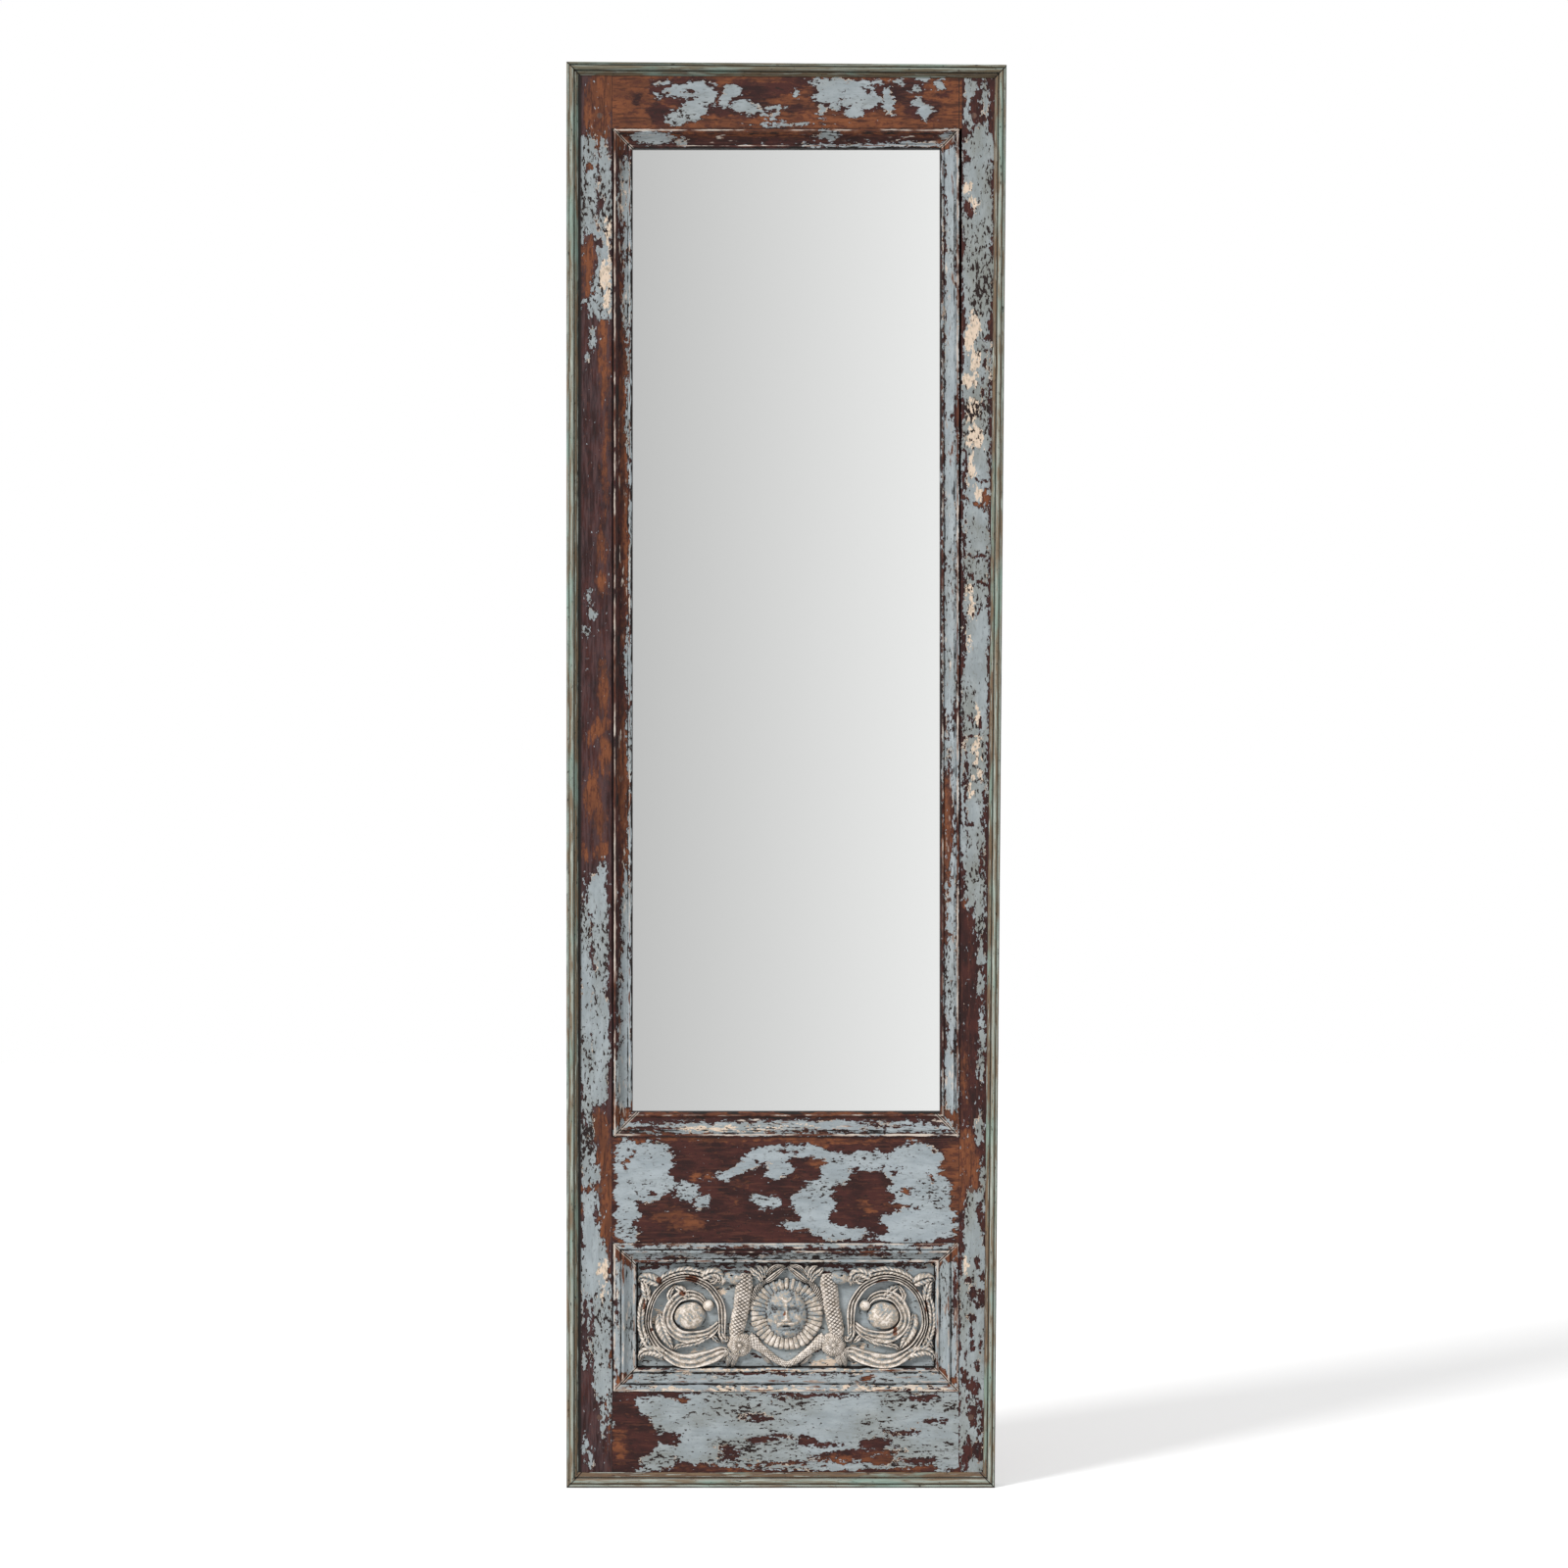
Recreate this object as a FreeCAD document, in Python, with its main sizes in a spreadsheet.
"""Painted mirror: a tall panelled leaf, mirror glass above and a carved panel below.

The leaf hangs on a wall. Its front faces -Y, +X is to the right and +Z is up. The origin
lies midway between the two hanging holes, on the plane of the wall behind the leaf.
"""
import FreeCAD, Part
import math
import os
import Sketcher

# Sizes in millimetres
SIZES = (
    # Outline of the whole leaf, which is out of square like the old door it was cut from
    ("height", 2100),
    ("width", 648),
    ("top_fall", 4.6),
    ("right_taper", 17.5),
    ("hang_drop", 250),
    ("thickness", 34),
    # Border strips nailed round the edge
    ("border_side", 17),
    ("border_head", 19),
    ("border_foot", 22),
    ("border_proud", 9),
    # Stiles and rails
    ("left_stile_width", 49.5),
    ("right_stile_width", 48.5),
    ("right_stile_foot_width", 36.3),
    ("top_rail_width", 78.6),
    ("lock_rail_level", 516),
    ("lock_rail_width", 156),
    ("bottom_rail_width", 118.8),
    ("tenon_length", 28),
    ("tenon_thickness", 11),
    ("tenon_setback", 16),
    ("tenon_shoulder", 10),
    ("tenon_haunch", 20),
    ("mortise_gap", 1),
    ("peg_radius", 4.2),
    ("peg_clearance", 0.05),
    ("peg_inset", 18),
    ("peg_rise", 19),
    # Mirror glass and the board behind it
    ("glass_thickness", 4),
    ("glass_rebate", 9),
    ("glass_play", 1),
    ("board_thickness", 6),
    ("board_rebate", 21),
    ("strip_width", 18),
    ("strip_thickness", 8),
    # Carved panel in its grooves
    ("panel_thickness", 10),
    ("panel_setback", 8),
    ("panel_groove", 8),
    ("panel_play", 1),
    # Mouldings round the glass and round the panel
    ("moulding_proud", 2),
    ("moulding_gap", 1.8),
    ("glass_moulding_side", 28.2),
    ("glass_moulding_head", 28.5),
    ("glass_moulding_foot", 37),
    ("panel_moulding_side", 34.5),
    ("panel_moulding_head", 30.5),
    ("panel_moulding_foot", 34),
    # Carving on the panel: its height as a share of the field's width
    ("carving_share", 0.3512),
    # Scrolls, dolphins, crest and mask as shares of the carving's height
    ("scroll_reach_share", 0.9505),
    ("scroll_drop_share", 0.0259),
    ("scroll_radius_share", 0.3686),
    ("scroll_relief_share", 0.0841),
    ("ball_radius_share", 0.1455),
    ("ball_relief_share", 0.097),
    ("dolphin_length_share", 0.595),
    ("dolphin_girth_share", 0.0808),
    ("dolphin_relief_share", 0.097),
    ("mask_rise_share", 0.0162),
    ("face_width_share", 0.3686),
    ("face_height_share", 0.4591),
    ("face_relief_share", 0.1229),
    ("ruff_radius_share", 0.3557),
    ("ruff_base_share", 0.0259),
    ("pleat_height_share", 0.0323),
    ("crest_height_share", 0.0905),
    ("crest_relief_share", 0.0647),
    ("tail_gap", 0.6),
    # Screws
    ("screw_radius", 1.75),
    ("screw_length", 14),
    ("screw_head_radius", 3.6),
    ("screw_head_height", 2),
    ("screw_clearance", 0.05),
    # Hanging plates and wall bumpers
    ("hanger_inset", 31.5),
    ("hanger_width", 22),
    ("hanger_bridge", 40),
    ("hanger_flange", 16),
    ("hanger_gauge", 2),
    ("hanger_standoff", 6),
    ("hole_radius", 5.5),
    ("slot_radius", 2.7),
    ("slot_rise", 12),
    ("bumper_radius", 10),
    ("bumper_level", 70),
    # One overrun for every cut
    ("overrun", 5),
)

# Counts
PLEATS = 40

document = FreeCAD.newDocument("painted_mirror")
sheet = document.addObject("Spreadsheet::Sheet", "Sizes")
for row, (alias, number) in enumerate(SIZES, start=1):
    sheet.set(f"A{row}", alias)
    sheet.set(f"B{row}", str(number))
    sheet.setAlias(f"B{row}", alias)
document.recompute()


class Term:
    """A size worked out from the sheet: its value, and the expression that gives it."""

    def __init__(self, value, text):
        self.value = value
        self.text = text

    def __add__(self, other):
        other = term(other)
        return Term(self.value + other.value, f"({self.text} + {other.text})")

    def __sub__(self, other):
        other = term(other)
        return Term(self.value - other.value, f"({self.text} - {other.text})")

    def __mul__(self, other):
        other = term(other)
        return Term(self.value * other.value, f"({self.text} * {other.text})")

    def __truediv__(self, other):
        other = term(other)
        return Term(self.value / other.value, f"({self.text} / {other.text})")

    def __neg__(self):
        return Term(-self.value, f"(0 - {self.text})")


def root(size):
    """The square root of a Term."""
    return Term(math.sqrt(size.value), f"sqrt({size.text})")


def smaller(one, other):
    """The smaller of two Terms."""
    return Term(min(one.value, other.value), f"min({one.text}; {other.text})")


def term(size):
    """The Term of a plain number, or the Term that it already is."""
    return size if isinstance(size, Term) else Term(size, repr(size))


class Size:
    """Every driving dimension of the sheet, by its name."""


for alias, _ in SIZES:
    setattr(Size, alias, Term(float(sheet.get(alias)), f"Sizes.{alias}"))


class Upright:
    """A line that runs up the leaf: x at the origin's level, and its lean to the right."""

    def __init__(self, x, lean=None):
        self.x = x
        self.lean = lean

    def at(self, level):
        return self.x if self.lean is None else self.x + self.lean * level

    def moved(self, distance):
        return Upright(self.x + distance, self.lean)


class Level:
    """A line that runs across the leaf: z at the middle, and its rise to the right."""

    def __init__(self, z, rise=None):
        self.z = z
        self.rise = rise

    def at(self, x):
        return self.z if self.rise is None else self.z + self.rise * x

    def moved(self, distance):
        return Level(self.z + distance, self.rise)


def corner(upright, level):
    """Where an upright line and a level line cross, as (x, z)."""
    if upright.lean is None or level.rise is None:
        x = upright.x if upright.lean is None else upright.at(level.z)
        return x, level.at(x)
    x = (upright.x + upright.lean * level.z) / (term(1) - upright.lean * level.rise)
    return x, level.at(x)


# Lines of the leaf, seen from the front
HALF = Size.width / 2
TOP = Size.hang_drop
FOOT = Size.hang_drop - Size.height
LEAN = Size.right_taper / Size.height
OUTER_LEFT = Upright(-HALF)
OUTER_RIGHT = Upright(HALF - LEAN * TOP, LEAN)
OUTER_HEAD = Level(TOP - Size.top_fall / 2, -(Size.top_fall / Size.width))
OUTER_FOOT = Level(FOOT)
EDGE_LEFT = OUTER_LEFT.moved(Size.border_side)
EDGE_RIGHT = OUTER_RIGHT.moved(-Size.border_side)
EDGE_HEAD = OUTER_HEAD.moved(-Size.border_head)
EDGE_FOOT = OUTER_FOOT.moved(Size.border_foot)
JOINT_LEFT = EDGE_LEFT.moved(Size.left_stile_width)
JOINT_LEAN = LEAN - (Size.right_stile_width - Size.right_stile_foot_width) / Size.height
JOINT_RIGHT = Upright(HALF - Size.border_side - Size.right_stile_width - JOINT_LEAN * TOP,
                      JOINT_LEAN)

# Levels of the rails' edges
TOP_RAIL_LOW = TOP - Size.border_head - Size.top_rail_width
LOCK_RAIL_HIGH = FOOT + Size.lock_rail_level
LOCK_RAIL_LOW = LOCK_RAIL_HIGH - Size.lock_rail_width
BOTTOM_RAIL_LOW = FOOT + Size.border_foot
BOTTOM_RAIL_HIGH = BOTTOM_RAIL_LOW + Size.bottom_rail_width

# Depths, counted forward from the back faces of the stiles, which stand off the wall
WALL_GAP = Size.hanger_standoff + Size.hanger_gauge
BOARD_FRONT = Size.strip_thickness + Size.board_thickness
GLASS_FRONT = BOARD_FRONT + Size.glass_thickness
PANEL_FRONT = Size.panel_setback + Size.panel_thickness
MOULDING_FRONT = Size.thickness + Size.moulding_proud

SUBPARTS = []


def forward(depth):
    """The y of a depth: the front of the leaf faces -Y."""
    return -(depth + WALL_GAP)


def origin_feature(body, role):
    """The plane or axis of a body's own origin that has the given role."""
    return next(item for item in body.Origin.OriginFeatures if item.Role == role)


def fix(sketch, element, vertex, point):
    """Pin one vertex of a sketch at a point, with both distances bound to the sheet."""
    for kind, size in (("DistanceX", point[0]), ("DistanceY", point[1])):
        rule = sketch.addConstraint(
            Sketcher.Constraint(kind, -1, 1, element, vertex, size.value))
        sketch.setExpression(f"Constraints[{rule}]", size.text)


def vector(point):
    return FreeCAD.Vector(point[0].value, point[1].value, 0)


def draw(sketch, outline):
    """Draw a closed outline: (corner,) is a straight step and (middle, corner) an arc."""
    ends = []
    for index, step in enumerate(outline):
        start = outline[index - 1][-1]
        if len(step) == 1:
            element = sketch.addGeometry(Part.LineSegment(vector(start), vector(step[-1])))
            ends.append((element, 1, 2))
        else:
            arc = Part.Arc(vector(start), vector(step[0]), vector(step[-1]))
            element = sketch.addGeometry(arc)
            forward = sketch.getPoint(element, 2).distanceToPoint(vector(step[-1]))
            backward = sketch.getPoint(element, 1).distanceToPoint(vector(step[-1]))
            ends.append((element, 1, 2) if forward < backward else (element, 2, 1))
            middle = sketch.addGeometry(Part.Point(vector(step[0])), True)
            fix(sketch, middle, 1, step[0])
            sketch.addConstraint(Sketcher.Constraint("PointOnObject", middle, 1, element))
    for index, (element, _, last) in enumerate(ends):
        following, first, _ = ends[(index + 1) % len(ends)]
        sketch.addConstraint(Sketcher.Constraint("Coincident", element, last, following, first))
        fix(sketch, element, last, outline[index][-1])


def draw_circle(sketch, centre, radius):
    """Draw a circle whose centre and radius are bound to the sheet."""
    shape = Part.Circle(vector(centre), FreeCAD.Vector(0, 0, 1), radius.value)
    element = sketch.addGeometry(shape)
    fix(sketch, element, 3, centre)
    rule = sketch.addConstraint(Sketcher.Constraint("Radius", element, radius.value))
    sketch.setExpression(f"Constraints[{rule}]", radius.text)


class Piece:
    """One body: outlines seen from the front, from above or from the side, pulled along."""

    def __init__(self, name):
        self.name = name
        self.body = document.addObject("PartDesign::Body", name)
        self.body.Label = name
        SUBPARTS.append(self.body)

    def sketch(self, role, offset):
        """A sketch on an origin plane: a front view is placed by its depth."""
        sketch = self.body.newObject("Sketcher::SketchObject", f"{self.name}_sketch")
        sketch.AttachmentSupport = (origin_feature(self.body, role), [""])
        sketch.MapMode = "FlatFace"
        if role == "XZ_Plane":
            offset = offset + WALL_GAP
        sketch.setExpression("AttachmentOffset.Base.z", offset.text)
        return sketch

    def pull(self, kind, sketch, length):
        feature = self.body.newObject(f"PartDesign::{kind}", f"{self.name}_{kind.lower()}")
        feature.Profile = sketch
        feature.setExpression("Length", length.text)
        return feature

    def slab(self, outline, depth, thickness):
        """Add a front outline from a depth forward by a thickness."""
        sketch = self.sketch("XZ_Plane", depth)
        draw(sketch, outline)
        self.pull("Pad", sketch, thickness)

    def cut(self, outline, depth, thickness):
        """Cut a front outline from a depth forward by a thickness."""
        sketch = self.sketch("XZ_Plane", depth)
        draw(sketch, outline)
        self.cut_sketch(sketch, thickness)

    def bore(self, centre, radius, depth, thickness):
        """Bore a round hole from a depth forward by a thickness."""
        sketch = self.sketch("XZ_Plane", depth)
        draw_circle(sketch, centre, radius)
        self.cut_sketch(sketch, thickness)

    def cut_sketch(self, sketch, thickness):
        before = self.volume()
        pocket = self.pull("Pocket", sketch, thickness)
        pocket.Reversed = True
        if self.volume() >= before:
            raise ValueError(f"{pocket.Name} cuts nothing")

    def volume(self):
        document.recompute()
        return self.body.Shape.Volume


def box(left, right, low, high):
    """Four corners between two upright and two level lines."""
    return [(corner(left, low),), (corner(right, low),),
            (corner(right, high),), (corner(left, high),)]


def span(x_left, x_right, z_low, z_high):
    return box(Upright(x_left), Upright(x_right), Level(z_low), Level(z_high))


# Stiles, one at each side, run the full height inside the border
# Each rail's tenon, from its lower to its upper edge, and the level of its peg
RAILS = (
    (TOP_RAIL_LOW + Size.tenon_shoulder, TOP - Size.border_head - Size.tenon_haunch,
     TOP_RAIL_LOW + Size.peg_rise),
    (LOCK_RAIL_LOW + Size.tenon_shoulder, LOCK_RAIL_HIGH - Size.tenon_shoulder,
     (LOCK_RAIL_LOW + LOCK_RAIL_HIGH) / 2),
    (BOTTOM_RAIL_LOW + Size.tenon_haunch, BOTTOM_RAIL_HIGH - Size.tenon_shoulder,
     BOTTOM_RAIL_HIGH - Size.peg_rise * 2),
)
PEG_HOLE = Size.peg_radius + Size.peg_clearance
PEG_LENGTH = Size.thickness - Size.tenon_setback
SCREW_HOLE = Size.screw_radius + Size.screw_clearance


def peg_centre(joint, side, level):
    return joint.at(level) + Size.peg_inset * side, level


def hanger_middle(side):
    """The x of a hanging plate's middle, and of the bumper below it."""
    return (HALF - Size.hanger_inset) * side


def hanger_holes(side):
    """Centres of the two screws of one hanging plate."""
    x = hanger_middle(side)
    reach = (Size.hanger_bridge + Size.hanger_flange) / 2 + Size.hanger_gauge
    middle = Size.slot_rise / 2
    return [(x, middle - reach), (x, middle + reach)]


def make_stile(name, edge, joint, side):
    """A stile: side is -1 at the left and 1 at the right."""
    stile = Piece(name)
    outer, inner = (edge, joint) if side < 0 else (joint, edge)
    stile.slab(box(outer, inner, EDGE_FOOT, EDGE_HEAD), term(0), Size.thickness)

    def strip(depth):
        far = joint.moved(depth * side)
        near = joint.moved(-(Size.overrun * side))
        return (far, near) if side < 0 else (near, far)

    for low, high, _ in RAILS:
        stile.cut(box(*strip(Size.tenon_length + Size.mortise_gap), Level(low), Level(high)),
                  Size.tenon_setback, Size.tenon_thickness)
    for depth, front in ((Size.glass_rebate, GLASS_FRONT), (Size.board_rebate, BOARD_FRONT)):
        stile.cut(box(*strip(depth), Level(LOCK_RAIL_HIGH - depth), Level(TOP_RAIL_LOW + depth)),
                  -Size.overrun, front + Size.overrun)
    stile.cut(box(*strip(Size.panel_groove), Level(BOTTOM_RAIL_HIGH - Size.panel_groove),
                  Level(LOCK_RAIL_LOW + Size.panel_groove)),
              Size.panel_setback, Size.panel_thickness)
    for _, _, level in RAILS:
        stile.bore(peg_centre(joint, side, level), PEG_HOLE, Size.tenon_setback,
                   PEG_LENGTH + Size.overrun)
    for centre in hanger_holes(side):
        stile.bore(centre, SCREW_HOLE, -Size.overrun, Size.screw_length + Size.overrun)
    return stile


make_stile("left_stile", EDGE_LEFT, JOINT_LEFT, -1)
make_stile("right_stile", EDGE_RIGHT, JOINT_RIGHT, 1)


# Rails between the stiles, with a tenon at each end
def make_rail(name, low, high, tenon):
    rail = Piece(name)
    rail.slab(box(JOINT_LEFT, JOINT_RIGHT, low, high), term(0), Size.thickness)
    tenon_low, tenon_high, level = tenon
    for joint, side in ((JOINT_LEFT, -1), (JOINT_RIGHT, 1)):
        far = joint.moved(Size.tenon_length * side)
        lines = (far, joint) if side < 0 else (joint, far)
        rail.slab(box(*lines, Level(tenon_low), Level(tenon_high)),
                  Size.tenon_setback, Size.tenon_thickness)
    for joint, side in ((JOINT_LEFT, -1), (JOINT_RIGHT, 1)):
        rail.bore(peg_centre(joint, side, level), PEG_HOLE, Size.tenon_setback,
                  PEG_LENGTH + Size.overrun)
    return rail


def cut_rebates(rail, edge, side):
    """Rebates for the glass and the board: side is 1 where the rail lies above the glass."""
    left = JOINT_LEFT.moved(-Size.overrun)
    right = JOINT_RIGHT.moved(Size.overrun)
    for depth, front in ((Size.glass_rebate, GLASS_FRONT), (Size.board_rebate, BOARD_FRONT)):
        levels = (edge - Size.overrun * side, edge + depth * side)
        low, high = levels if side > 0 else levels[::-1]
        rail.cut(box(left, right, Level(low), Level(high)), -Size.overrun, front + Size.overrun)


def cut_groove(rail, edge, side):
    """Groove for the panel: side is 1 where the rail lies above the panel."""
    levels = (edge - Size.overrun * side, edge + Size.panel_groove * side)
    low, high = levels if side > 0 else levels[::-1]
    rail.cut(box(JOINT_LEFT.moved(-Size.overrun), JOINT_RIGHT.moved(Size.overrun),
                 Level(low), Level(high)), Size.panel_setback, Size.panel_thickness)


top_rail = make_rail("top_rail", Level(TOP_RAIL_LOW), EDGE_HEAD, RAILS[0])
cut_rebates(top_rail, TOP_RAIL_LOW, 1)
lock_rail = make_rail("lock_rail", Level(LOCK_RAIL_LOW), Level(LOCK_RAIL_HIGH), RAILS[1])
cut_rebates(lock_rail, LOCK_RAIL_HIGH, -1)
cut_groove(lock_rail, LOCK_RAIL_LOW, 1)
bottom_rail = make_rail("bottom_rail", EDGE_FOOT, Level(BOTTOM_RAIL_HIGH), RAILS[2])
cut_groove(bottom_rail, BOTTOM_RAIL_HIGH, -1)


# Pegs through the joints, glass, board and panel
def joined(name, shapes):
    """One node that holds several like solids."""
    group = document.addObject("Part::Compound", name)
    group.Label = name
    group.Links = shapes
    SUBPARTS.append(group)


def rod(name, centre, radius, depth, length):
    """A round rod that runs forward from a depth, centred on a place of the front view."""
    shape = document.addObject("Part::Cylinder", name)
    shape.setExpression("Radius", radius.text)
    shape.setExpression("Height", length.text)
    lay_forward(shape, centre, depth)
    return shape


def lay_forward(shape, centre, depth):
    """Turn an upright primitive so that it points forward, and put its foot in place."""
    shape.Placement.Rotation = FreeCAD.Rotation(FreeCAD.Vector(1, 0, 0), 90)
    shape.setExpression("Placement.Base.x", centre[0].text)
    shape.setExpression("Placement.Base.y", forward(depth).text)
    shape.setExpression("Placement.Base.z", centre[1].text)


pegs = []
for joint, side in ((JOINT_LEFT, -1), (JOINT_RIGHT, 1)):
    for _, _, level in RAILS:
        pegs.append(rod("peg", peg_centre(joint, side, level), Size.peg_radius,
                        Size.tenon_setback, PEG_LENGTH))
joined("joint_pegs", pegs)

RIGHT_STOP = JOINT_RIGHT.at(LOCK_RAIL_HIGH)


def behind(reach):
    """A plate behind the glass opening that laps over its edges by a reach."""
    return span(JOINT_LEFT.x - reach, RIGHT_STOP + reach, LOCK_RAIL_HIGH - reach,
                TOP_RAIL_LOW + reach)


mirror_glass = Piece("mirror_glass")
mirror_glass.slab(behind(Size.glass_rebate - Size.glass_play), BOARD_FRONT,
                  Size.glass_thickness)

backing_board = Piece("backing_board")
backing_board.slab(behind(Size.board_rebate - Size.glass_play), Size.strip_thickness,
                   Size.board_thickness)


# Four strips pinned in the rebate hold the board, the long ones between the short ones
def make_strips():
    left, right = JOINT_LEFT.moved(-Size.board_rebate), JOINT_RIGHT.moved(Size.board_rebate)
    low, high = LOCK_RAIL_HIGH - Size.board_rebate, TOP_RAIL_LOW + Size.board_rebate
    upper, lower = Level(high - Size.strip_width), Level(low + Size.strip_width)
    outlines = {
        "left": box(left, left.moved(Size.strip_width), lower, upper),
        "right": box(right.moved(-Size.strip_width), right, lower, upper),
        "top": box(left, right, upper, Level(high)),
        "bottom": box(left, right, Level(low), lower),
    }
    for side, outline in outlines.items():
        Piece(f"backing_strip_{side}").slab(outline, term(0), Size.strip_thickness)


make_strips()

PANEL_REACH = Size.panel_groove - Size.panel_play
panel_board = Piece("panel_board")
panel_board.slab(box(JOINT_LEFT.moved(-PANEL_REACH), JOINT_RIGHT.moved(PANEL_REACH),
                     Level(BOTTOM_RAIL_HIGH - PANEL_REACH), Level(LOCK_RAIL_LOW + PANEL_REACH)),
                 Size.panel_setback, Size.panel_thickness)


# Screws: a round shank and a low round head that sits on what it holds
def screw(name, centre, depth, length):
    whole = document.addObject("Part::Fuse", name)
    whole.Base = rod(f"{name}_shank", centre, Size.screw_radius, depth, length)
    whole.Tool = rod(f"{name}_head", centre, Size.screw_head_radius,
                     depth - Size.screw_head_height, Size.screw_head_height)
    return whole


# Mouldings: a profile pulled along each side, cut to a mitre at both ends
# Each step is a share of the width from the outer edge and of the depth from the back
BORDER_SHARES = (
    ((0, 0),), ((0, 0.90),), ((0.06, 0.955), (0.2, 0.96)), ((0.2, 0.91),), ((0.27, 0.91),),
    ((0.45, 1), (0.62, 0.92)), ((0.62, 0.87),), ((0.7, 0.87),), ((0.76, 0.91), (0.83, 0.87)),
    ((1, 0.81),), ((1, 0),),
)
GLASS_SHARES = (
    ((0, 0),), ((0, 1),), ((0.2, 1),), ((0.2, 0.93),), ((0.27, 0.93),),
    ((0.45, 0.56), (0.78, 0.4)), ((0.78, 0.46),), ((0.89, 0.53), (1, 0.36)), ((1, 0),),
)
PANEL_SHARES = (
    ((0, 0),), ((0, 0.97),), ((0.3, 0.97),), ((0.3, 0.88),), ((0.36, 0.88),),
    ((0.42, 0.97), (0.5, 0.9)), ((0.62, 0.62), (0.82, 0.5)), ((0.82, 0.56),),
    ((0.91, 0.62), (1, 0.46)), ((1, 0),),
)
MITRE_SHARE = 0.5
SIDES = ("left", "right", "top", "bottom")
UPRIGHTS = ("left", "right")


class Surround:
    """Four mouldings round an opening, from their outer lines and their widths.

    Each side is a body whose own frame lies along the side's outer line.
    """

    def __init__(self, name, outer, widths, back, front, shares):
        self.name = name
        self.outer = outer
        self.widths = widths
        self.back = back
        self.front = front
        self.shares = shares
        left, right, head, foot = (outer[side] for side in SIDES)
        self.outside = self.corners(left, right, head, foot)
        self.inside = self.corners(left.moved(widths["left"]), right.moved(-widths["right"]),
                                   head.moved(-widths["top"]), foot.moved(widths["bottom"]))

    @staticmethod
    def corners(left, right, head, foot):
        return {f"{across} {up}": corner(upright, level)
                for across, upright in (("left", left), ("right", right))
                for up, level in (("top", head), ("bottom", foot))}

    def start(self, side):
        """A body for one side, its origin and the slope of its frame."""
        piece = Piece(f"{self.name}_{side}")
        line = self.outer[side]
        if side in UPRIGHTS:
            axis, place, slope = "x", line.x, line.lean
        else:
            axis, place = "z", line.z
            slope = None if line.rise is None else -line.rise
        if slope is not None:
            piece.body.Placement.Rotation = FreeCAD.Rotation(
                FreeCAD.Vector(0, 1, 0), math.degrees(math.atan(slope.value)))
            piece.body.setExpression("Placement.Rotation.Angle", f"atan({slope.text})")
        piece.body.setExpression(f"Placement.Base.{axis}", place.text)
        return piece, (axis, place, slope)

    @staticmethod
    def local(point, frame):
        """A point of the leaf in the frame of one side."""
        axis, place, slope = frame
        across = point[0] - place if axis == "x" else point[0]
        up = point[1] - place if axis == "z" else point[1]
        if slope is None:
            return across, up
        stretch = root(slope * slope + 1)
        return (across - up * slope) / stretch, (across * slope + up) / stretch

    def profile(self, side, slope):
        """The profile in its own sketch, with the side's outer line at the sketch's zero."""
        width = self.widths[side] if slope is None else (
            self.widths[side] / root(slope * slope + 1))
        inward = 1 if side in ("left", "bottom") else -1
        steps = []
        for shares in self.shares:
            step = []
            for across, up in shares:
                y = forward(self.back + (self.front - self.back) * up)
                away = width * (across * inward)
                step.append((away, y) if side in UPRIGHTS else (y, away))
            steps.append(tuple(step))
        return steps

    def mitre(self, piece, key, frame, shift):
        """Cut away what lies past the mitre line at one corner."""
        outer_x, outer_z = self.local(self.outside[key], frame)
        inner_x, inner_z = self.local(self.inside[key], frame)
        spread_x = (outer_x - inner_x) * MITRE_SHARE
        spread_z = (outer_z - inner_z) * MITRE_SHARE
        far = (outer_x + spread_x, outer_z + spread_z)
        near = (inner_x - spread_x, inner_z - spread_z)
        piece.cut([(near,), (far,), ((far[0] + shift[0], far[1] + shift[1]),),
                   ((near[0] + shift[0], near[1] + shift[1]),)],
                  self.back - Size.overrun, self.front - self.back + Size.overrun * 2)

    def make_side(self, side):
        """Pull the profile past both corners along the side, then cut the two mitres."""
        piece, frame = self.start(side)
        upright = side in UPRIGHTS
        ends = ("bottom", "top") if upright else ("left", "right")
        keys = [f"{side} {end}" if upright else f"{end} {side}" for end in ends]
        along = 1 if upright else 0
        start, finish = (self.local(self.outside[key], frame)[along] for key in keys)
        sketch = piece.sketch("XY_Plane" if upright else "YZ_Plane", start - Size.overrun)
        draw(sketch, self.profile(side, frame[2]))
        piece.pull("Pad", sketch, finish - start + Size.overrun * 2)
        for key, end, sign in zip(keys, ends, (-1, 1)):
            reach = (self.widths[end] + Size.overrun) * (2 * sign)
            shift = (term(0), reach) if upright else (reach, term(0))
            self.mitre(piece, key, frame, shift)

    def make(self):
        for side in SIDES:
            self.make_side(side)


def by_side(*values):
    return dict(zip(SIDES, values))


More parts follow.
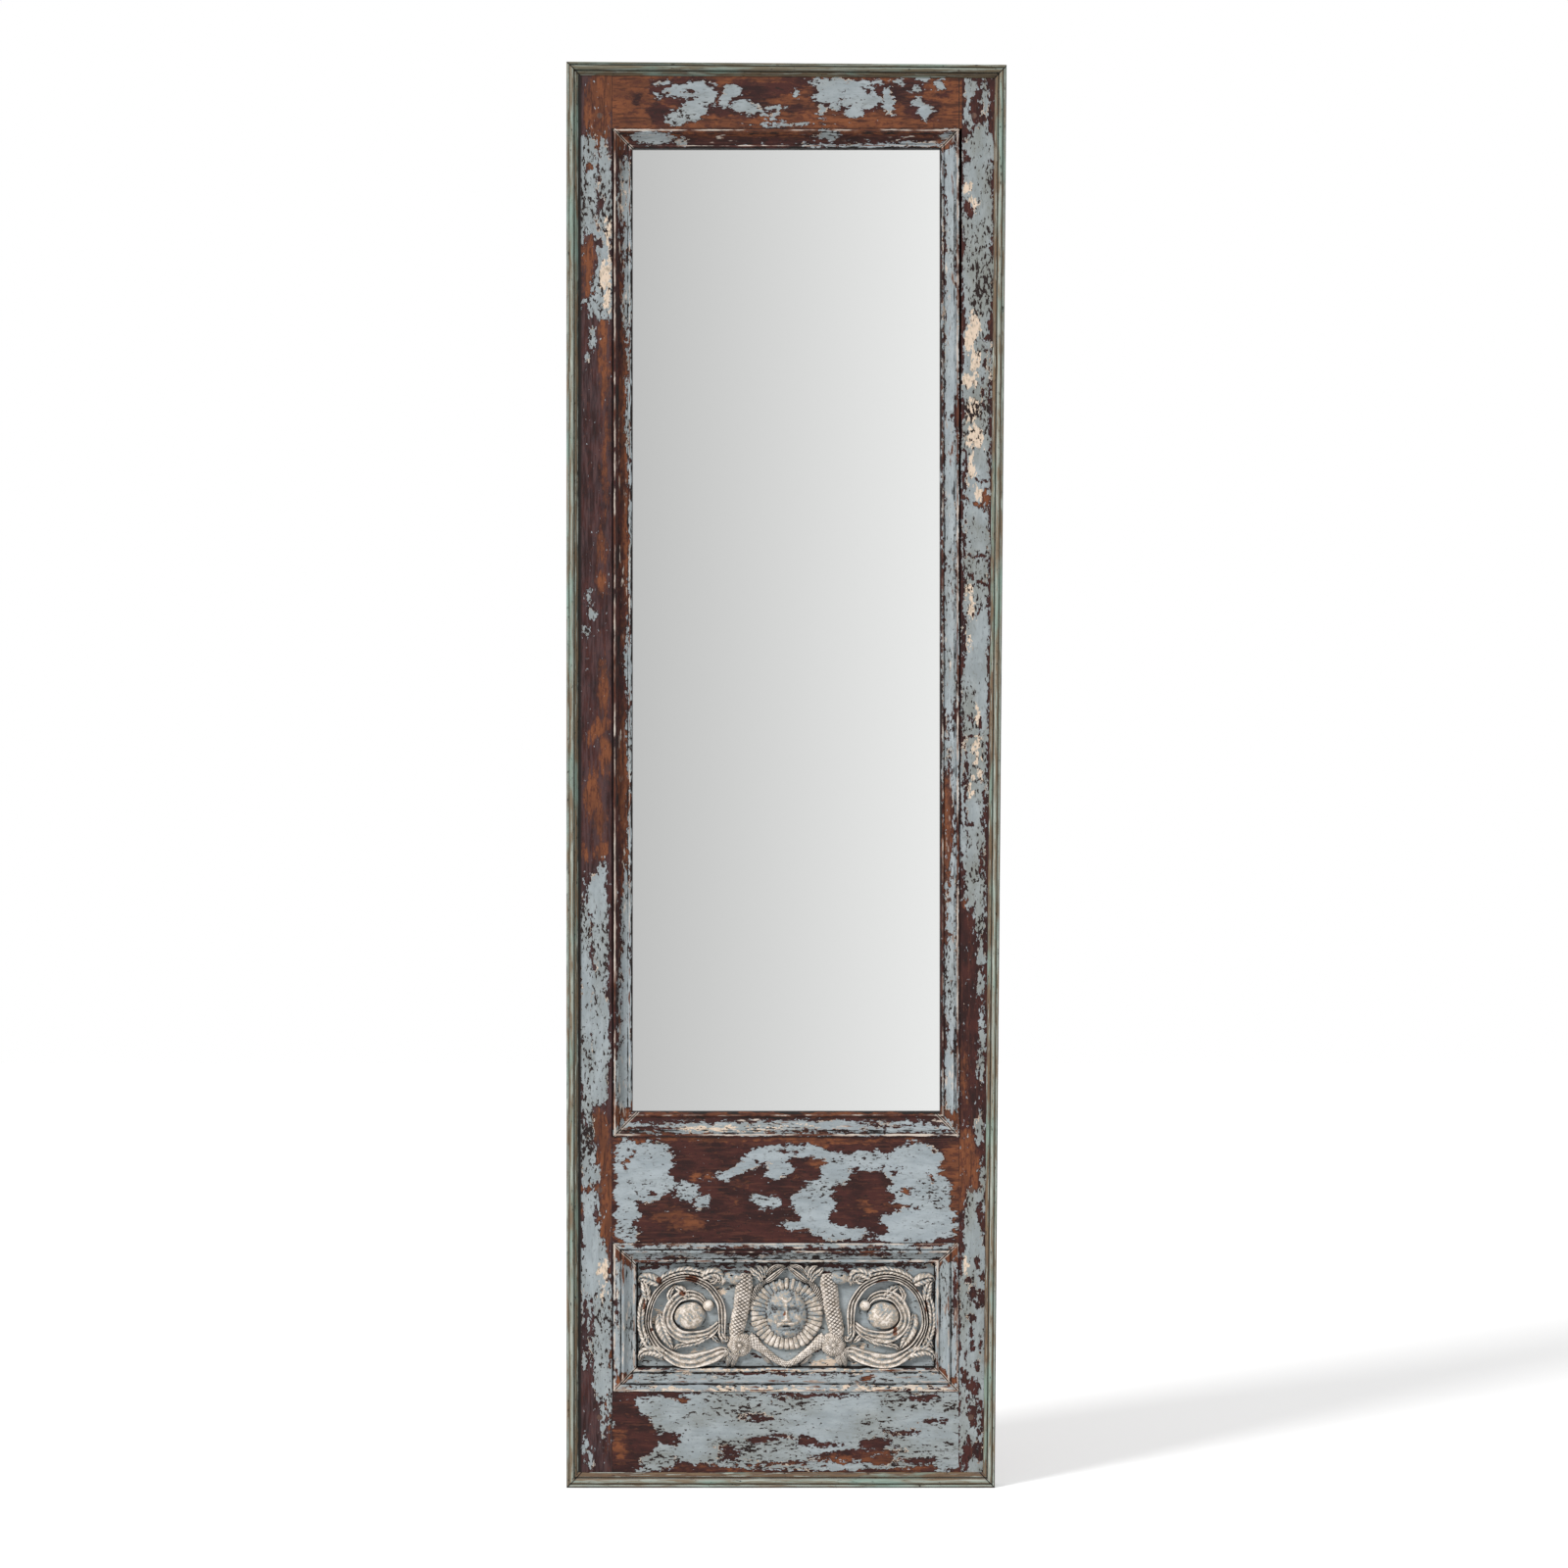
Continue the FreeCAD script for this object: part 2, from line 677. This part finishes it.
Surround("border", by_side(OUTER_LEFT, OUTER_RIGHT, OUTER_HEAD, OUTER_FOOT),
         by_side(Size.border_side, Size.border_side, Size.border_head, Size.border_foot),
         term(0), Size.thickness + Size.border_proud, BORDER_SHARES).make()
MOULDING_LEFT = Upright(JOINT_LEFT.x + Size.moulding_gap)
Surround("glass_moulding",
         by_side(MOULDING_LEFT, Upright(RIGHT_STOP), Level(TOP_RAIL_LOW), Level(LOCK_RAIL_HIGH)),
         by_side(Size.glass_moulding_side, Size.glass_moulding_side, Size.glass_moulding_head,
                 Size.glass_moulding_foot), GLASS_FRONT, MOULDING_FRONT, GLASS_SHARES).make()
Surround("panel_moulding",
         by_side(MOULDING_LEFT, Upright(JOINT_RIGHT.at(BOTTOM_RAIL_HIGH)),
                 Level(LOCK_RAIL_LOW), Level(BOTTOM_RAIL_HIGH)),
         by_side(Size.panel_moulding_side, Size.panel_moulding_side, Size.panel_moulding_head,
                 Size.panel_moulding_foot), PANEL_FRONT, MOULDING_FRONT, PANEL_SHARES).make()


# Hanging plates: a strap on each stile, bridged off the wood, with a keyhole in it
def make_hanger(name, side):
    hanger = Piece(name)
    middle = Size.slot_rise / 2
    gauge = Size.hanger_gauge
    wood = -WALL_GAP
    half = Size.hanger_bridge / 2
    reach = half + gauge + Size.hanger_flange
    rise = half - gauge
    inner = rise - gauge
    upper = [(wood, reach), (wood + gauge, reach), (wood + gauge, half), (term(0), rise),
             (term(0), -rise), (wood + gauge, -half), (wood + gauge, -reach), (wood, -reach),
             (wood, -rise), (-gauge, -inner), (-gauge, inner), (wood, rise)]
    x = hanger_middle(side)
    sketch = hanger.sketch("YZ_Plane", x - Size.hanger_width / 2)
    draw(sketch, [((y, middle + z),) for y, z in upper])
    hanger.pull("Pad", sketch, Size.hanger_width)
    depth = -(WALL_GAP + Size.overrun)
    thickness = WALL_GAP + Size.overrun
    hanger.bore((x, term(0)), Size.hole_radius, depth, thickness)
    slot = Size.slot_radius
    high = Size.slot_rise
    hanger.cut([((x - slot, term(0)),), ((x + slot, term(0)),), ((x + slot, high),),
                ((x, high + slot), (x - slot, high))], depth, thickness)
    for centre in hanger_holes(side):
        hanger.bore(centre, SCREW_HOLE, depth, thickness)


make_hanger("hanger_left", -1)
make_hanger("hanger_right", 1)
joined("hanger_screws", [screw("plate_screw", centre, -Size.hanger_gauge, Size.screw_length)
                         for side in (-1, 1) for centre in hanger_holes(side)])

# Rubber bumpers keep the foot as far from the wall as the plates keep the head
bumpers = []
for side in (-1, 1):
    place = (hanger_middle(side), FOOT + Size.bumper_level)
    bumpers.append(rod("bumper", place, Size.bumper_radius, -WALL_GAP, WALL_GAP))
joined("wall_bumpers", bumpers)


# Ornaments: solid forms laid on the panel's face, in a frame of their own
FIELD_WIDTH = JOINT_RIGHT.at(BOTTOM_RAIL_HIGH) - MOULDING_LEFT.x - Size.panel_moulding_side * 2
FIELD_LOW = BOTTOM_RAIL_HIGH + Size.panel_moulding_foot
FIELD_HIGH = LOCK_RAIL_LOW - Size.panel_moulding_head
# The carving fills the field's height, or less of it where the field is narrow
CARVING = smaller(FIELD_HIGH - FIELD_LOW, FIELD_WIDTH * Size.carving_share)
MIDDLE = (FIELD_LOW + FIELD_HIGH) / 2
MASK_CENTRE = (term(0), MIDDLE + CARVING * Size.mask_rise_share)
SCROLL_RADIUS = CARVING * Size.scroll_radius_share
SCROLL_RELIEF = CARVING * Size.scroll_relief_share
BALL_RADIUS = CARVING * Size.ball_radius_share
BALL_RELIEF = CARVING * Size.ball_relief_share
DOLPHIN_LENGTH = CARVING * Size.dolphin_length_share
DOLPHIN_GIRTH = CARVING * Size.dolphin_girth_share
DOLPHIN_RELIEF = CARVING * Size.dolphin_relief_share
FACE_WIDTH = CARVING * Size.face_width_share
FACE_HEIGHT = CARVING * Size.face_height_share
FACE_RELIEF = CARVING * Size.face_relief_share
RUFF_RADIUS = CARVING * Size.ruff_radius_share
RUFF_BASE = CARVING * Size.ruff_base_share
PLEAT_HEIGHT = CARVING * Size.pleat_height_share
CREST_HEIGHT = CARVING * Size.crest_height_share
CREST_RELIEF = CARVING * Size.crest_relief_share


# Outline of a ridge across its run: shares of its half width and of its height
RIDGE_SHARES = ((-1, 0), (-0.85, 0.6), (-0.35, 1), (0.35, 1), (0.85, 0.6), (1, 0))


def ridge(stations):
    """A ridge on the panel's face, carved in long flats through its cross-sections.

    Each cross-section is its x, its z, its half width and its height.
    """
    places = [FreeCAD.Vector(x, 0, z) for x, z, _, _ in stations]
    sections = []
    for index, (_, _, half, height) in enumerate(stations):
        before = places[max(index - 1, 0)]
        after = places[min(index + 1, len(places) - 1)]
        along = (after - before).normalize()
        aside = FreeCAD.Vector(-along.z, 0, along.x)
        sections.append(Part.makePolygon(
            [places[index] + aside * (half * across) - FreeCAD.Vector(0, height * up, 0)
             for across, up in RIDGE_SHARES + RIDGE_SHARES[:1]]))
    return Part.makeLoft(sections, True, True)


# Rings of a dome in degrees above the panel, and the flats round each ring
DOME_TURNS = (0, 32, 56, 77)
DOME_FLATS = 20


def dome(x, z, half_width, half_length, height):
    """A dome that stands on the panel's face, carved in flats, ring over ring."""
    rings = []
    for lift in DOME_TURNS:
        reach, up = math.cos(math.radians(lift)), math.sin(math.radians(lift))
        turns = [math.radians(360 * (index % DOME_FLATS) / DOME_FLATS)
                 for index in range(DOME_FLATS + 1)]
        rings.append(Part.makePolygon(
            [FreeCAD.Vector(x + half_width * reach * math.cos(turn), -height * up,
                            z + half_length * reach * math.sin(turn)) for turn in turns]))
    return Part.makeLoft(rings, True, True)


def ornament(name, shapes, centre):
    """One carved piece: its forms joined into one solid and set on the panel."""
    piece = document.addObject("Part::Feature", name)
    piece.Label = name
    whole = shapes[0].multiFuse(shapes[1:])
    if len(whole.Solids) != 1:
        raise ValueError(f"{name} falls apart into {len(whole.Solids)} solids")
    piece.Shape = whole.Solids[0]
    piece.Placement.Base = FreeCAD.Vector(centre[0].value, forward(PANEL_FRONT).value,
                                          centre[1].value)
    SUBPARTS.append(piece)


# Scrolls. Shares of the scroll's radius, for the left one, about its own middle
# Band: turn in degrees from the right, radius, half width and height
BAND_SHARES = (
    (-46, 1.50, 0.05, 0.4), (-65, 1.23, 0.10, 0.7), (-90, 1.10, 0.14, 0.9),
    (-122, 1.07, 0.15, 1), (-152, 1.01, 0.15, 1), (-180, 0.99, 0.15, 1),
    (-211, 1.05, 0.15, 1), (-236, 1.08, 0.15, 1), (-259, 1.10, 0.14, 1),
    (-281, 1.09, 0.14, 1), (-302, 1.03, 0.14, 0.95), (-325, 0.96, 0.13, 0.9),
    (-350, 0.90, 0.11, 0.8), (-374, 0.91, 0.08, 0.7), (-389, 1.05, 0.03, 0.4),
)
# Ring round the ball: turn, radius, half width and height, about the ball's middle
RING_SHARES = (
    (28, 0.53, 0.05, 0.6), (60, 0.55, 0.09, 0.8), (90, 0.55, 0.12, 0.9), (128, 0.54, 0.13, 0.9),
    (176, 0.54, 0.13, 0.9), (213, 0.55, 0.13, 0.9), (250, 0.56, 0.12, 0.85),
    (288, 0.55, 0.11, 0.8), (320, 0.60, 0.10, 0.75), (349, 0.76, 0.07, 0.6),
)
# Leaves: x, z, half width and height along each, from the band to the tip
LEAF_SHARES = (
    ((-0.74, 0.74, 0.16, 0.8), (-0.92, 0.94, 0.13, 0.75), (-1.08, 1.02, 0.08, 0.6),
     (-1.21, 0.93, 0.02, 0.3)),
    ((-0.74, -0.66, 0.14, 0.8), (-0.96, -0.82, 0.11, 0.7), (-1.13, -0.92, 0.07, 0.5),
     (-1.21, -1.06, 0.02, 0.3)),
    ((0.44, 0.94, 0.10, 0.8), (0.62, 1.08, 0.10, 0.8), (0.76, 1.12, 0.07, 0.7),
     (0.80, 1.00, 0.03, 0.5)),
    ((0.06, 0.60, 0.08, 0.7), (-0.16, 0.68, 0.08, 0.6), (-0.34, 0.80, 0.02, 0.3)),
    ((0.02, -0.52, 0.08, 0.7), (-0.18, -0.64, 0.08, 0.6), (-0.33, -0.80, 0.02, 0.3)),
)
BALL_SHARE = (0.085, 0.05)
KNOB_SHARE = (0.52, 0.31, 0.14, 0.85)


def make_scroll(name, side):
    radius, relief = SCROLL_RADIUS.value, SCROLL_RELIEF.value
    ball = (BALL_SHARE[0] * radius, BALL_SHARE[1] * radius)

    def placed(x, z, half, height):
        return (-side * x * radius, z * radius, half * radius, height * relief)

    def turned(share, middle):
        turn, reach, half, height = share
        angle = math.radians(turn)
        return placed(middle[0] + reach * math.cos(angle), middle[1] + reach * math.sin(angle),
                      half, height)

    forms = [ridge([turned(share, (0, 0)) for share in BAND_SHARES]),
             ridge([turned(share, BALL_SHARE) for share in RING_SHARES])]
    forms += [ridge([placed(*share) for share in leaf]) for leaf in LEAF_SHARES]
    forms.append(dome(-side * ball[0], ball[1], BALL_RADIUS.value, BALL_RADIUS.value,
                      BALL_RELIEF.value))
    x, z, half, height = placed(*KNOB_SHARE)
    forms.append(dome(x, z, half, half, height))
    ornament(name, forms, (CARVING * Size.scroll_reach_share * side,
                           MIDDLE - CARVING * Size.scroll_drop_share))


make_scroll("scroll_left", -1)
make_scroll("scroll_right", 1)

# Dolphins, head up and outward with the tails to the middle
# Shares of the length from the mask's middle, outward and up, of the girth and of the relief
BODY_SHARES = (
    (0.66, 0.62, 0.80, 0.9), (0.675, 0.50, 1.02, 1), (0.715, 0.27, 1.06, 1),
    (0.755, 0.05, 1.10, 1), (0.785, -0.14, 1.15, 1), (0.790, -0.32, 1.15, 0.9),
    (0.75, -0.52, 1.0, 0.8),
)
TAIL_SHARES = (
    (0.72, -0.62, 0.70, 0.7), (0.56, -0.52, 0.55, 0.6), (0.40, -0.57, 0.46, 0.55),
    (0.23, -0.68, 0.40, 0.55), (0.10, -0.79, 0.36, 0.5), (0.005, -0.835, 0.34, 0.5),
)
HEAD_SHARE = (0.87, 0.575, 1.1, 0.85, 0.9)
COIL_SHARE = (0.745, -0.53, 1.42, 1.32, 0.75)


def make_dolphin(name, side):
    length, girth, relief = (DOLPHIN_LENGTH.value, DOLPHIN_GIRTH.value,
                             DOLPHIN_RELIEF.value)
    half_gap = Size.tail_gap.value / 2

    def placed(x, z, half, height):
        return (side * (x * length + half_gap), z * length, half * girth,
                       height * relief)

    forms = [ridge([placed(*share) for share in BODY_SHARES]),
             ridge([placed(*share) for share in TAIL_SHARES])]
    for x, z, wide, tall, height in (HEAD_SHARE, COIL_SHARE):
        place = placed(x, z, wide, height)
        forms.append(dome(place[0], place[1], wide * girth, tall * girth, place[3]))
    ornament(name, forms, MASK_CENTRE)


make_dolphin("dolphin_left", -1)
make_dolphin("dolphin_right", 1)

# Crest: an arm that hugs the ruff and petals that rise from its middle
# Turn in degrees, distance past the ruff, half width and height as shares of the crest
ARM_SHARES = ((46, 0.64, 0.12, 0.4), (57, 0.50, 0.36, 0.7), (72, 0.42, 0.32, 0.8),
              (90, 0.40, 0.28, 0.8), (108, 0.42, 0.32, 0.8), (123, 0.50, 0.36, 0.7),
              (134, 0.64, 0.12, 0.4))
PETAL_TURNS = (78, 90, 102)
PETAL_SHARES = ((0.36, 0.10, 0.95), (0.68, 0.20, 1), (0.98, 0.05, 0.5))


def make_crest():
    ruff, rise, relief = RUFF_RADIUS.value, CREST_HEIGHT.value, CREST_RELIEF.value

    def placed(turn, past, half, height):
        angle = math.radians(turn)
        reach = ruff + past * rise
        return (reach * math.cos(angle), reach * math.sin(angle), half * rise,
                       height * relief)

    forms = [ridge([placed(*share) for share in ARM_SHARES])]
    for turn in PETAL_TURNS:
        forms.append(ridge([placed(turn, *share) for share in PETAL_SHARES]))
    ornament("crest", forms, MASK_CENTRE)


make_crest()


# Mask: a domed face on a ruff of pleats, all in one piece
PLEAT_START_SHARE = 0.47
PLEAT_WIDTH_SHARE = 0.42
PLEAT_CREST_SHARE = 0.4


def make_mask():
    mask = Piece("mask")
    mask.body.setExpression("Placement.Base.z", MASK_CENTRE[1].text)
    ring = mask.sketch("XZ_Plane", PANEL_FRONT)
    draw_circle(ring, (term(0), term(0)), RUFF_RADIUS)
    mask.pull("Pad", ring, RUFF_BASE)
    sections = []
    for share in (PLEAT_START_SHARE, 1):
        reach = RUFF_RADIUS * share
        half = reach * (math.pi / PLEATS) * (PLEAT_WIDTH_SHARE * 2)
        low = forward(PANEL_FRONT + RUFF_BASE / 2)
        high = forward(PANEL_FRONT + RUFF_BASE)
        crown = forward(PANEL_FRONT + RUFF_BASE + PLEAT_HEIGHT)
        section = mask.sketch("XY_Plane", reach)
        crest = half * PLEAT_CREST_SHARE
        draw(section, [((-half, low),), ((half, low),), ((half, high),),
                       ((crest, crown),), ((-crest, crown),), ((-half, high),)])
        sections.append(section)
    loft = mask.body.newObject("PartDesign::AdditiveLoft", "pleat")
    loft.Profile = sections[0]
    loft.Sections = sections[1:]
    loft.Ruled = True
    document.recompute()
    pattern = mask.body.newObject("PartDesign::PolarPattern", "pleats")
    pattern.Originals = [loft]
    pattern.Axis = (origin_feature(mask.body, "Y_Axis"), [""])
    pattern.Angle = 360
    pattern.Occurrences = PLEATS
    mask.body.Tip = pattern
    document.recompute()
    face = mask.body.newObject("PartDesign::AdditiveEllipsoid", "face")
    face.AttachmentSupport = (origin_feature(mask.body, "XZ_Plane"), [""])
    face.MapMode = "FlatFace"
    face.setExpression("AttachmentOffset.Base.z", (PANEL_FRONT + WALL_GAP).text)
    face.setExpression("Radius1", FACE_RELIEF.text)
    face.setExpression("Radius2", (FACE_WIDTH / 2).text)
    face.setExpression("Radius3", (FACE_HEIGHT / 2).text)
    face.Angle1 = 0


make_mask()


# Every sub-part is checked, then written
document.recompute()
for item in document.Objects:
    if "Invalid" in item.State or "Error" in item.State:
        raise ValueError(f"{item.Name} is not built: {item.State}")
os.makedirs("parts", exist_ok=True)
for item in SUBPARTS:
    if item.Shape.isNull() or not item.Shape.isValid():
        raise ValueError(f"{item.Label} has no valid shape")
    item.Shape.exportStep(f"parts/{item.Label}.step")
    print(item.Label, len(item.Shape.Solids), round(item.Shape.Volume))
